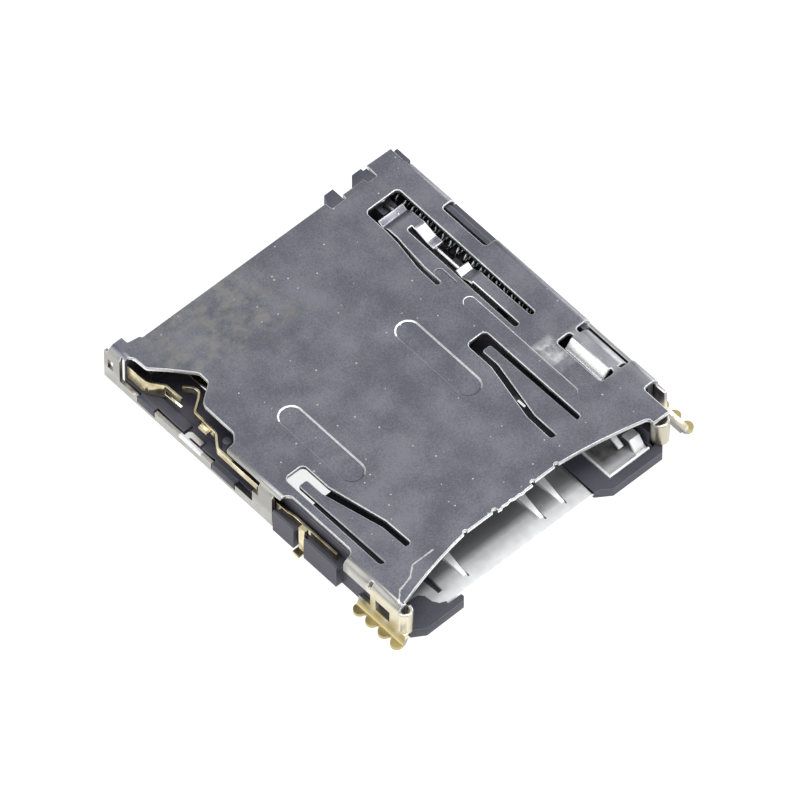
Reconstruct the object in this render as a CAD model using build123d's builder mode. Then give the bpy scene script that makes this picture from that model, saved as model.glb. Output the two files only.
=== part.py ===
from build123d import *
import math
import os

os.makedirs("parts", exist_ok=True)

# Sizes in millimetres. X runs across the card slot, Y towards the rear, Z up from the board.
height = 1.9
front = -6.73
rear = 7.55
sheet = 0.15
bend = 0.32

# Clearances
run = 0.05
seat = 0.02
wall_gap = 0.04
groove_gap = 0.04

# The card and the stroke of the push-push slider
card_width = 11.0
card_margin = 0.67
card_step = 7.0
travel = 3.1
overtravel = 0.5

# Moulded housing
floor = 0.45
web = 0.12
rear_setback = 0.2
rear_wall = 0.75
channel_wall = 0.28
post = 0.25
pin_setback = 0.3

# Slider, coil spring and cam pin
column_width = 0.69
groove_end = 0.7
heart_half = 0.19
arm_deep = 0.6
arm_reach = 1.2
spring_play = 0.2
spring_wire = 0.12
spring_turns = 19
spring_space = 8.0
pin_wire = 0.18
press = 0.24

# Base plate and card contacts
plate = 0.15
contact_count = 8
contact_pitch = 1.1
contact_width = 0.4
contact_sheet = 0.12

# Levels
under = height - sheet
mid_sheet = height - sheet / 2
roof = under - seat
plate_top = web + plate
column_low = floor + run
pin_z = under - press - pin_wire / 2
column_top = pin_z - pin_wire / 2 - groove_gap
press_z = pin_z + pin_wire / 2 + seat + sheet / 2

# Lines across the socket, from the card and what lies beside it
spring_radius = (under - floor) / 2 - spring_play
spring_z = floor + run + spring_radius
width = (
    card_margin + card_width + seat + column_width + 2 * run + 2 * spring_radius
    + channel_wall + wall_gap + sheet
)
half = width / 2
wall_inner = half - sheet
body_half = wall_inner - wall_gap
channel_right = body_half - channel_wall
card_left = -half + card_margin
card_right = card_left + card_width
column_left = card_right + seat
column_right = column_left + column_width
spring_x = channel_right - run - spring_radius
pin_x = (column_left + column_right) / 2

# Lines along the socket, from the rear wall forward
housing_rear = rear - rear_setback
pocket_rear = housing_rear - rear_wall
pin_y = pocket_rear - pin_setback
column_rear = pin_y - post - run - travel
tip_y = column_rear - groove_end
arm_front = pocket_rear - card_step - travel
column_front = arm_front - 1.8


def ribbon(points, thickness):
    """The closed outline of a bent strip of even thickness that follows these points."""
    ways = []
    for a, b in zip(points, points[1:]):
        length = math.dist(a, b)
        ways.append(((b[0] - a[0]) / length, (b[1] - a[1]) / length))
    ahead, back = [], []
    for index, (u, v) in enumerate(points):
        before = ways[max(index - 1, 0)]
        after = ways[min(index, len(ways) - 1)]
        nu, nv = -(before[1] + after[1]), before[0] + after[0]
        scale = math.hypot(nu, nv)
        nu, nv = nu / scale, nv / scale
        reach = thickness / 2 / (nu * -before[1] + nv * before[0])
        ahead.append((u + nu * reach, v + nv * reach))
        back.append((u - nu * reach, v - nv * reach))
    return ahead + back[::-1]


def outline(points):
    """A flat face inside these corner points."""
    with BuildSketch(mode=Mode.PRIVATE) as face:
        with BuildLine():
            Polyline(*points, close=True)
        make_face()
    return face.sketch


def punched(points, soft):
    """A flat face with rounded corners; a third value of a point is that corner's own radius."""
    corners = []
    for a, b, c in zip(points[-1:] + points[:-1], points, points[1:] + points[:1]):
        radius = b[2] if len(b) > 2 else soft
        before, after = math.dist(a[:2], b[:2]), math.dist(b[:2], c[:2])
        back = ((a[0] - b[0]) / before, (a[1] - b[1]) / before)
        ahead = ((c[0] - b[0]) / after, (c[1] - b[1]) / after)
        half_angle = math.acos(max(-1.0, back[0] * ahead[0] + back[1] * ahead[1])) / 2
        trim = min(radius / math.tan(half_angle), 0.45 * before, 0.45 * after)
        reach = trim * math.tan(half_angle) * (1 / math.sin(half_angle) - 1)
        middle = (back[0] + ahead[0], back[1] + ahead[1])
        reach = reach / max(math.hypot(*middle), 0.001)
        start = (b[0] + back[0] * trim, b[1] + back[1] * trim)
        stop = (b[0] + ahead[0] * trim, b[1] + ahead[1] * trim)
        crown = (b[0] + middle[0] * reach, b[1] + middle[1] * reach)
        corners.append([b[:2]] if trim < 0.004 else [start, crown, stop])
    with BuildSketch(mode=Mode.PRIVATE) as face:
        with BuildLine():
            for corner, following in zip(corners, corners[1:] + corners[:1]):
                if len(corner) > 1 and math.dist(corner[0], corner[-1]) > 0.2:
                    ThreePointArc(*corner)
                elif len(corner) > 1:
                    Polyline(*corner)
                Line(corner[-1], following[0])
        make_face()
    return face.sketch


def strip(points, thickness, soft):
    """A face of a bent strip; soft is how far from each corner the bend begins."""
    line = [points[0]]
    for a, b, c in zip(points, points[1:], points[2:]):
        before = min(soft, math.dist(a, b) * 0.45) / math.dist(a, b)
        after = min(soft, math.dist(b, c) * 0.45) / math.dist(b, c)
        start = (b[0] + (a[0] - b[0]) * before, b[1] + (a[1] - b[1]) * before)
        stop = (b[0] + (c[0] - b[0]) * after, b[1] + (c[1] - b[1]) * after)
        for part in (0.0, 0.33, 0.67, 1.0):
            u = (1 - part) ** 2 * start[0] + 2 * part * (1 - part) * b[0] + part ** 2 * stop[0]
            v = (1 - part) ** 2 * start[1] + 2 * part * (1 - part) * b[1] + part ** 2 * stop[1]
            line.append((u, v))
    line.append(points[-1])
    return outline(ribbon(line, thickness))


# Front edge of the cover: a shallow hollow with a straight middle where the strip was broken off
hollow_left = -half + 0.5
hollow_right = half - 1.6
straight_left = -half + 4.08
straight_right = half - 5.33
stub_x = (straight_left + straight_right) / 2 + 0.13
stub_wide = 1.7
# Torn edge of that strip: share of its width, and how far it still stands out
stub_tear = (
    (-0.5, 0.08), (-0.4, 0.1), (-0.34, 0.04), (-0.22, 0.07), (-0.12, 0.03), (-0.02, 0.08), (0.1, 0.06),
    (0.2, 0.1), (0.34, 0.07), (0.5, 0.08),
)
with BuildSketch() as front_cut:
    with BuildLine():
        left_side = Line((hollow_left - 0.1, front - 2.5), (hollow_left - 0.1, front - 0.8))
        left_corner = Line(left_side @ 1, (hollow_left, front - 0.78))
        left_arc = ThreePointArc(
            left_corner @ 1, ((hollow_left + straight_left) / 2, front - 0.3), (straight_left, front)
        )
        middle = Line(left_arc @ 1, (straight_right, front))
        right_arc = ThreePointArc(
            middle @ 1, ((hollow_right + straight_right) / 2, front - 0.27), (hollow_right, front - 0.7)
        )
        right_corner = Line(right_arc @ 1, (hollow_right + 0.1, front - 0.8))
        right_side = Line(right_corner @ 1, (hollow_right + 0.1, front - 2.5))
        Line(right_side @ 1, left_side @ 0)
    make_face()
    add(outline(
        [(stub_x - stub_wide / 2, front + 0.08)]
        + [(stub_x + stub_wide * share, front - torn) for share, torn in stub_tear]
        + [(stub_x + stub_wide / 2, front + 0.08)]
    ), mode=Mode.SUBTRACT)
    with Locations((straight_left, front), (straight_right, front)):
        Circle(0.09)
    with Locations((stub_x - stub_wide / 2 - 0.09, front), (stub_x + stub_wide / 2 + 0.09, front)):
        Circle(0.09)

# Card springs of the cover: the slots that free them, and the two tongues bent a little downwards
spring_root = front + 0.98
spring_end = spring_root + 4.65
slot_wide = 0.2
dip = 0.14


def card_spring(outer, way):
    """Slot outline and tongue outline of one card spring; way is the side its slanted edge is on."""
    tongue = [
        (outer, spring_root, 0), (outer, spring_end), (outer + way * 0.42, spring_end),
        (outer + way * 0.42, spring_end - 0.85, 0.4), (outer + way * 1.0, spring_root + 1.2, 0.4),
        (outer + way * 1.03, spring_root, 0),
    ]
    opening = [
        (outer - way * slot_wide, spring_root, 0.14), (outer - way * slot_wide, spring_end + 0.5),
        (outer + way * 0.7, spring_end + 0.5), (outer + way * 0.7, spring_end - 0.85, 0.4),
        (outer + way * 1.24, spring_root + 1.3, 0.4), (outer + way * 1.27, spring_root, 0.14),
    ]
    return opening, tongue


left_opening, left_tongue = card_spring(-half + 1.05, 1)
right_opening, right_tongue = card_spring(half - 3.43, -1)

with BuildPart() as card_tongues:
    with BuildSketch(Plane.YZ.offset(-half)):
        add(outline([
            (spring_root - 0.2, under), (spring_root - 0.2, height), (spring_root, height),
            (spring_end, height - dip), (spring_end, under - dip), (spring_root, under),
        ]))
    extrude(amount=width)
    with BuildSketch(Plane.XY.offset(under - 0.5)):
        for tongue in (left_tongue, right_tongue):
            roots = [(corner[0], spring_root - 0.2, 0) for corner in (tongue[-1], tongue[0])]
            add(punched(tongue + roots, 0.1))
    extrude(amount=1.0, mode=Mode.INTERSECT)

# Cam tongues of the cover: a wide one with a pressed tab beside it, a narrow one and a side catch
cam_left = pin_x - 1.03
cam_right = pin_x + 0.56
cam_rear = pocket_rear - 0.33
cam_front = tip_y - 3.4
catch_y = front + 2.83
catch_x = half - 1.0
catch_long = 2.0
wide_line = [
    (pin_y - 1.35, mid_sheet), (pin_y - 1.15, mid_sheet), (pin_y - 0.88, press_z),
    (pin_y - 0.58, mid_sheet - 0.02),
]
tab_line = [
    (pin_y - 1.6, mid_sheet), (pin_y - 1.78, mid_sheet), (pin_y - 2.45, press_z), (pin_y - 2.8, press_z)
]
narrow_line = [
    (tip_y - 0.9, mid_sheet), (tip_y - 0.75, mid_sheet), (tip_y - 0.35, press_z),
    (tip_y - 0.02, mid_sheet - 0.03),
]
catch_line = [
    (catch_x + 0.1, mid_sheet), (catch_x - 0.08, mid_sheet), (catch_x - 0.38, column_top + 0.15),
    (catch_x - 0.55, column_top + 0.15),
]
with BuildPart() as cam_tongues:
    for line, x_start, wide in (
        (wide_line, cam_left + 0.08, 1.22), (tab_line, pin_x - 0.21, 0.5), (narrow_line, pin_x - 0.35, 0.62)
    ):
        with BuildSketch(Plane.YZ.offset(x_start)):
            add(strip(line, sheet, 0.12))
        extrude(amount=wide)
    with BuildSketch(Plane.XZ.offset(-catch_y - catch_long / 2)):
        add(strip(catch_line, sheet, 0.12))
    extrude(amount=catch_long)

# Slots in the cover round the cam tongues
with BuildSketch() as cam_slots:
    add(punched([
        (cam_left, cam_rear, 0.2), (cam_left, pin_y - 1.2), (cam_left - 0.05, pin_y - 1.85),
        (cam_left - 0.27, tip_y + 0.9), (cam_left - 0.29, tip_y - 0.12),
        (cam_left - 0.09, tip_y - 0.12), (cam_left - 0.09, tip_y + 0.75),
        (cam_left + 0.04, pin_y - 2.0), (cam_left + 0.08, pin_y - 1.7), (cam_left + 0.08, pin_y - 1.25, 0),
        (cam_right - 0.29, pin_y - 1.25, 0), (cam_right - 0.29, pin_y - 1.7, 0),
        (cam_right - 0.76, pin_y - 1.7, 0), (cam_right - 0.76, pin_y - 1.62, 0), (cam_right - 1.0, pin_y - 1.62),
        (cam_right - 1.05, cam_front), (cam_right - 0.82, cam_front), (cam_right - 0.82, tip_y - 0.8, 0),
        (cam_right - 0.29, tip_y - 0.8, 0), (cam_right - 0.25, cam_front), (cam_right - 0.04, cam_front),
        (cam_right, cam_rear, 0.2),
    ], 0.09))

# Openings along the sides of the cover, seen from above
lug_in = 0.72
flap_in = 0.72
flap_rear = front + 3.78
flap_front = front + 1.73
with BuildSketch() as side_openings:
    add(punched([
        (-half - 1, rear - 0.37), (-half + 0.38, rear - 0.37), (-half + 0.42, rear - 1.15),
        (-half + 0.95, rear - 1.7), (-half + 1.7, rear - 2.6), (-half + 1.68, rear - 3.1),
        (-half + 0.98, rear - 3.6), (-half + 0.86, rear - 3.8), (-half + 0.84, rear - 5.4),
        (-half + 0.56, rear - 5.73), (-half + 0.16, rear - 5.77), (-half + 0.06, rear - 5.95),
        (-half + 0.06, rear - 7.67), (-half - 1, rear - 7.67),
    ], 0.25))
    for x, y, wide, long, corner in (
        (-half, front + 3.8, 1.0, 3.5, 0.28), (-half, front + 0.66, 0.34, 0.13, 0.05),
        (half, rear - 4.17, 1.3, 2.35, 0.12), (half - 1.32, catch_y, 0.66, catch_long + 0.4, 0.12),
        (half, (flap_rear + flap_front) / 2 + 0.06, 2 * flap_in, flap_rear - flap_front + 0.34, 0.09),
        (half, front - 1.17, 2 * lug_in, 3.1, 0.12), (half, rear - 0.21, 0.42, 0.94, 0.08),
        (half, rear + 0.45, 0.42, 0.5, 0.05), (-half, rear + 1.0, 2.0, 1.0, 0.05),
    ):
        left, right, rear_end, front_end = x - wide / 2, x + wide / 2, y + long / 2, y - long / 2
        add(punched([(left, front_end), (right, front_end), (right, rear_end), (left, rear_end)], corner))

# Blocks and lugs of the housing that stand in the left wall, as rear end, front end and levels
block_top = under - 0.5
block_spans = [(front + 5.75, front + 4.63, 0, block_top), (front + 4.08, front + 2.33, 0, block_top)]
lug_low = web + run
lug_top = floor + 0.08
lug_spans = [(rear - 1.15, rear - 2.0, lug_low, lug_top), (rear - 5.15, rear - 6.35, lug_low, lug_top)]

# Windows in the two side walls of the cover, as rear end, front end and levels
edge_level = height - 0.1
left_windows = [
    (rear - 0.15, rear - 2.55, floor, edge_level), (rear - 2.45, rear - 7.33, floor, edge_level),
    (rear - 7.25, rear - 7.65, under - 0.65, edge_level), (front + 5.88, front + 2.05, -1, edge_level),
    (front + 2.13, front + 0.61, -1, under - 0.5), (front + 0.33, front - 0.42, floor + 0.17, under - 0.55),
]
for y_high, y_low, z_low, z_high in lug_spans:
    left_windows.append((y_high + run, y_low - run, z_low - seat, z_high + 0.1))
right_windows = [
    (rear - 3.0, rear - 5.35, floor + 0.15, height + 1),
    (flap_rear + 0.23, flap_front - 0.11, -1, under - 0.85),
    (rear - 1.15, rear - 2.35, -1, floor), (rear - 6.15, rear - 9.55, -1, floor + 0.15),
    (front - 0.12, front - 2.3, floor, height + 1),
]
window_deep = 2 * bend + 0.06

# The left wall reaches further back than the top, with a small window near its end
wall_rear = rear + 0.7

# Pegs at the rear of the housing that stand in notches of the cover's rear edge
peg_a = half - 3.6
peg_a_wide = 0.6
peg_b = half - 1.82
peg_b_wide = 0.36
notch_y = rear - 0.33

# Solder wings at the foot of each side wall, and the rolled ends at the front corners
wing_rear = front + 1.23
wing_front = front - 1.25
lobe = 0.25
lobes = 4
roll = 0.31
roll_y = front - 0.89
roll_low = floor + 0.03
roll_high = under - 0.15
lug_x = half - lug_in

# Pressed ribs in the cover: X, rear end, front end, width and depth
rib_deep = 0.05
ribs = [
    (-half + 2.86, front + 8.43, front + 4.33, 0.86, rib_deep),
    (half - 5.3, front + 8.41, front + 4.33, 0.86, rib_deep),
    (half - 2.76, front + 7.68, front + 1.83, 0.46, rib_deep * 0.4),
    (cam_left + 0.16, tip_y + 0.42, tip_y - 0.6, 0.36, rib_deep),
]

with BuildPart() as shell:
    # channel section folded from sheet
    with BuildSketch(Plane.XZ.offset(-wall_rear)):
        add(outline([
            (-half, 0), (-half, height), (half, height), (half, 0), (wall_inner, 0), (wall_inner, under),
            (-wall_inner, under), (-wall_inner, 0),
        ]))
    extrude(amount=wall_rear - front + 1.0)
    fillet(shell.edges().filter_by(Axis.Y).group_by(Axis.Z)[-1], bend)
    inner_edges = [
        edge for edge in shell.edges().filter_by(Axis.Y)
        if abs(abs(edge.center().X) - wall_inner) < seat and abs(edge.center().Z - under) < seat
    ]
    fillet(inner_edges, bend - sheet)

    # rear edge with its notches, the corners left standing
    with BuildSketch(Plane.XY.offset(-1)):
        add(punched([
            (-half + 0.68, rear + 1), (-half + 0.7, rear + 0.18), (-half + 1.2, rear + 0.1),
            (-half + 1.25, rear),
            (peg_a - seat - 0.03, rear), (peg_a - seat, notch_y), (peg_a + peg_a_wide + seat, notch_y),
            (peg_a + peg_a_wide + 0.06, rear - 0.12), (peg_b - 0.04, rear - 0.12), (peg_b - seat, notch_y),
            (peg_b + peg_b_wide + seat, notch_y), (peg_b + peg_b_wide + 0.04, rear + 0.28),
            (half - 0.2, rear + 0.25), (half + 1, rear + 0.25), (half + 1, rear + 1),
        ], 0.045))
        add(front_cut.sketch)
    extrude(amount=height + 2, mode=Mode.SUBTRACT)

    # openings in the top and the two bends
    with BuildSketch(Plane.XY.offset(height - bend - 0.02)):
        add(side_openings.sketch)
    extrude(amount=1, mode=Mode.SUBTRACT)
    with BuildSketch(Plane.XY.offset(under - 0.1)):
        add(cam_slots.sketch)
        add(punched(left_opening, 0.2))
        add(punched(right_opening, 0.2))
    extrude(amount=1, mode=Mode.SUBTRACT)

    # windows in the walls
    for x, windows in ((-half, left_windows), (half, right_windows)):
        for y_high, y_low, z_low, z_high in windows:
            with Locations((x, (y_high + y_low) / 2, (z_low + z_high) / 2)):
                Box(window_deep, y_high - y_low, z_high - z_low, mode=Mode.SUBTRACT)
    with Locations((-half, wall_rear - 0.35, height / 2)):
        Box(window_deep, 0.28, 0.5, mode=Mode.SUBTRACT)

    # tongues, and the side flap pressed inwards between its two slits
    add(card_tongues.part)
    add(cam_tongues.part)
    flap_x = half - 0.24
    flap_line = [
        (half - flap_in - 0.1, mid_sheet), (half - flap_in + 0.14, mid_sheet),
        (flap_x - 0.12, mid_sheet - 0.16), (flap_x, mid_sheet - 0.5), (flap_x, under - 0.83),
    ]
    with BuildSketch(Plane.XZ.offset(-flap_rear)):
        add(strip(flap_line, sheet, 0.2))
    extrude(amount=flap_rear - flap_front)

    # pressed ribs: a dish in the top face and the matching bulge below
    for x, y_rear, y_front, wide, deep in ribs:
        with BuildSketch(Plane.XY.offset(height - deep)):
            with Locations((x, (y_rear + y_front) / 2)):
                SlotOverall(y_rear - y_front, wide, rotation=90)
        extrude(amount=1, mode=Mode.SUBTRACT)
        with BuildSketch(Plane.XY.offset(under - deep)):
            with Locations((x, (y_rear + y_front) / 2)):
                SlotOverall(y_rear - y_front, wide, rotation=90)
        extrude(amount=deep + 0.03)

    # rolled ends: the left wall and the lug at the right front each turn back on themselves
    with Locations((-half, roll_y - 0.5, 1)):
        Box(0.8, 1.0, 4, mode=Mode.SUBTRACT)
    with Locations((lug_x - sheet / 2, (roll_y + front + 0.31) / 2, (roll_low + under + 0.05) / 2)):
        Box(sheet, front + 0.31 - roll_y, under + 0.05 - roll_low)
    for x_outer, way, radius in ((-half, 1, roll), (lug_x, -1, roll + 0.04)):
        with BuildSketch(Plane.XY.offset(roll_low)):
            with Locations((x_outer + way * radius, roll_y)):
                Circle(radius)
                Circle(radius - sheet, mode=Mode.SUBTRACT)
            with Locations((x_outer + way * radius, roll_y + radius / 2 + 0.01)):
                Rectangle(2 * radius + 0.1, radius, mode=Mode.SUBTRACT)
            with Locations((x_outer + way * sheet / 2, roll_y + 0.03)):
                Rectangle(sheet, 0.1)
            with Locations((x_outer + way * (2 * radius - sheet / 2), roll_y + 0.06)):
                Rectangle(sheet, 0.14)
        extrude(amount=roll_high - roll_low)

    # solder wings with a scalloped edge
    for way in (-1, 1):
        wing_line = [
            (way * (half - sheet / 2), floor + 0.15), (way * (half - sheet / 2), 2 * sheet),
            (way * (half + 0.06), sheet / 2), (way * (half + 0.16), sheet / 2),
        ]
        with BuildSketch(Plane.XZ.offset(-wing_rear)):
            add(strip(wing_line, sheet, 0.12))
        extrude(amount=wing_rear - wing_front)
        with BuildSketch():
            for number in range(lobes):
                step = (wing_rear - wing_front - 2 * lobe) / (lobes - 1)
                with Locations((way * (half + 0.17), wing_rear - lobe - number * step)):
                    Circle(lobe)
        extrude(amount=sheet)

    # small hooked tab on the strip at the left
    tab_y = rear - 3.64
    with BuildSketch(Plane.XY.offset(floor - 0.07)):
        add(punched([
            (-half + 0.05, tab_y + 0.11), (-half + 0.42, tab_y + 0.11, 0.2), (-half + 0.42, tab_y - 0.64),
            (-half + 0.21, tab_y - 0.64), (-half + 0.21, tab_y - 0.11, 0.08), (-half + 0.05, tab_y - 0.11),
        ], 0.02))
    extrude(amount=0.12)

# Bright plate in the floor of the card entry
plate_front = front - 0.99
plate_rear = front + 1.53
floor_front = plate_rear - 0.6
plate_left = -half + 1.02
tray_left = card_right - 1.45
tray_right = card_right + 0.6
rail_left = tray_left - 0.8
ramp_rear = front + 0.73
ramp_tip = front - 0.67
ramp_narrow = 0.12
ramps = [(plate_left + 2.555, 0.36), (rail_left - 2.095, 0.36), (rail_left - 1.075, 0.34)]
plate_line = [
    (plate_left, plate_rear), (plate_left, front - 0.09), (plate_left + 0.62, front - 0.11),
    (plate_left + 0.8, front - 0.32), (plate_left + 0.84, front - 0.67), (plate_left + 0.98, front - 0.89),
    (plate_left + 1.2, plate_front), (tray_right, plate_front), (tray_right, plate_rear),
]
with BuildPart() as base_plate:
    with BuildSketch(Plane.XY.offset(web)):
        add(outline(plate_line))
        add(outline([
            (plate_left + 1.25, ramp_rear), (plate_left + 1.55, ramp_rear), (plate_left + 1.5, front - 0.47),
            (plate_left + 1.3, front - 0.47),
        ]), mode=Mode.SUBTRACT)
    extrude(amount=plate)
    for x, wide in ramps:
        with BuildSketch(Plane.YZ.offset(x - wide / 2)):
            add(outline([
                (ramp_rear + 0.15, plate_top - 0.02), (ramp_tip, plate_top - 0.02),
                (ramp_rear, plate_top + 0.2), (ramp_rear + 0.15, plate_top + 0.2),
            ]))
        extrude(amount=wide)
        with BuildSketch(Plane.XY.offset(plate_top)):
            for way in (-1, 1):
                add(outline([
                    (x + way * wide, ramp_rear), (x + way * wide / 2, ramp_rear),
                    (x + way * ramp_narrow / 2, ramp_tip), (x + way * wide, ramp_tip),
                ]))
        extrude(amount=0.5, mode=Mode.SUBTRACT)
    # upturned edge, guide finger and guide ramp of the tray beside the slider
    with Locations((tray_left + 0.05, (plate_front + floor_front - seat) / 2, plate_top + 0.1)):
        Box(0.1, floor_front - seat - plate_front, 0.24)
    finger_line = [
        (front - 0.72, plate_top - 0.06), (front - 0.37, plate_top + 0.42), (front - 0.02, plate_top + 0.42)
    ]
    guide_line = [
        (front + 0.53, plate_top - 0.05), (front + 0.28, plate_top + 0.35), (front - 0.22, plate_top + 0.1)
    ]
    with BuildSketch(Plane.YZ.offset(tray_right - 0.55)):
        add(outline(ribbon(finger_line, 0.1)))
    extrude(amount=0.5)
    with BuildSketch(Plane.YZ.offset(tray_right - 0.9)):
        add(outline(ribbon(guide_line, 0.1)))
    extrude(amount=0.24)
    # front lip of the tray, turned up towards the entry
    lip_line = [(plate_front + 0.26, plate_top - 0.05), (plate_front + 0.06, plate_top + 0.16)]
    with BuildSketch(Plane.YZ.offset(tray_left + 0.05)):
        add(outline(ribbon(lip_line, 0.1)))
    extrude(amount=tray_right - tray_left - 0.09)

# Detection switch: a fixed contact and a sprung one that the edge of the card pushes aside
switch_low = under - 0.75
switch_high = switch_low + 0.32
switch_floor = floor + 0.1
switch_sheet = 0.1
fixed_line = [
    (-half + 0.3, rear - 0.25), (-half + 0.3, rear - 1.15), (-half + 0.37, rear - 1.35),
    (-half + 0.72, rear - 1.85), (-half + 0.74, rear - 2.7),
]
leaf_foot_y = front + 4.35
leaf_line = [
    (-half + 0.3, front + 2.68), (-half + 0.3, front + 4.98), (-half + 0.24, front + 5.23),
    (-half + 0.24, rear - 5.2), (-half + 0.66, rear - 4.65), (-half + 0.7, rear - 3.45),
    (-half + 1.2, rear - 3.1), (-half + 1.42, rear - 2.9), (-half + 1.44, rear - 2.7),
    (-half + 1.33, rear - 2.5), (-half + 1.13, rear - 2.3),
]
with BuildPart() as detect_fixed:
    with BuildSketch(Plane.XY.offset(switch_low)):
        add(strip(fixed_line, switch_sheet, 0.1))
    extrude(amount=switch_high - switch_low)
    with BuildSketch(Plane.XY.offset(switch_floor + seat)):
        add(strip(fixed_line[:4], switch_sheet, 0.1))
    extrude(amount=switch_low + 0.02 - switch_floor - seat)
    with BuildSketch(Plane.XY.offset(switch_floor + 0.13)):
        add(strip(fixed_line[2:], switch_sheet, 0.1))
    extrude(amount=0.12)

with BuildPart() as detect_leaf:
    with BuildSketch(Plane.XY.offset(switch_low)):
        add(strip(leaf_line, switch_sheet, 0.1))
    extrude(amount=switch_high - switch_low)
    with Locations((-half + 0.55, rear - 4.15, switch_low + 0.07)):
        Box(0.2, 0.46, 0.14)
    with Locations((-half + 0.1, leaf_foot_y, (switch_high + 0.05) / 2)):
        Box(switch_sheet, 0.32, switch_high - 0.05)
    with Locations((-half + 0.2, leaf_foot_y, (switch_low + switch_high) / 2)):
        Box(0.28, 0.32, switch_high - switch_low)
    with Locations((-half - 0.05, leaf_foot_y, switch_sheet / 2)):
        Box(0.4, 0.36, switch_sheet)

# Card contacts
contact_first = card_left + card_width / 2 - (contact_count - 1) * contact_pitch / 2
contact_xs = [contact_first + number * contact_pitch for number in range(contact_count)]
contact_z = contact_sheet / 2 + 0.22
contact_line = [
    (housing_rear + 0.65, contact_sheet / 2), (housing_rear + 0.28, contact_sheet / 2),
    (housing_rear + 0.13, contact_z), (pocket_rear - 1.0, contact_z), (pocket_rear - 2.45, floor + 0.3),
    (pocket_rear - 2.7, floor + 0.36), (pocket_rear - 3.0, floor + 0.2),
]
contacts = []
for number, x in enumerate(contact_xs):
    with BuildPart() as contact:
        with BuildSketch(Plane.YZ.offset(x - contact_width / 2)):
            add(strip(contact_line, contact_sheet, 0.12))
        extrude(amount=contact_width)
    contact.part.label = f"contact_{number + 1}"
    contacts.append(contact)

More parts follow.
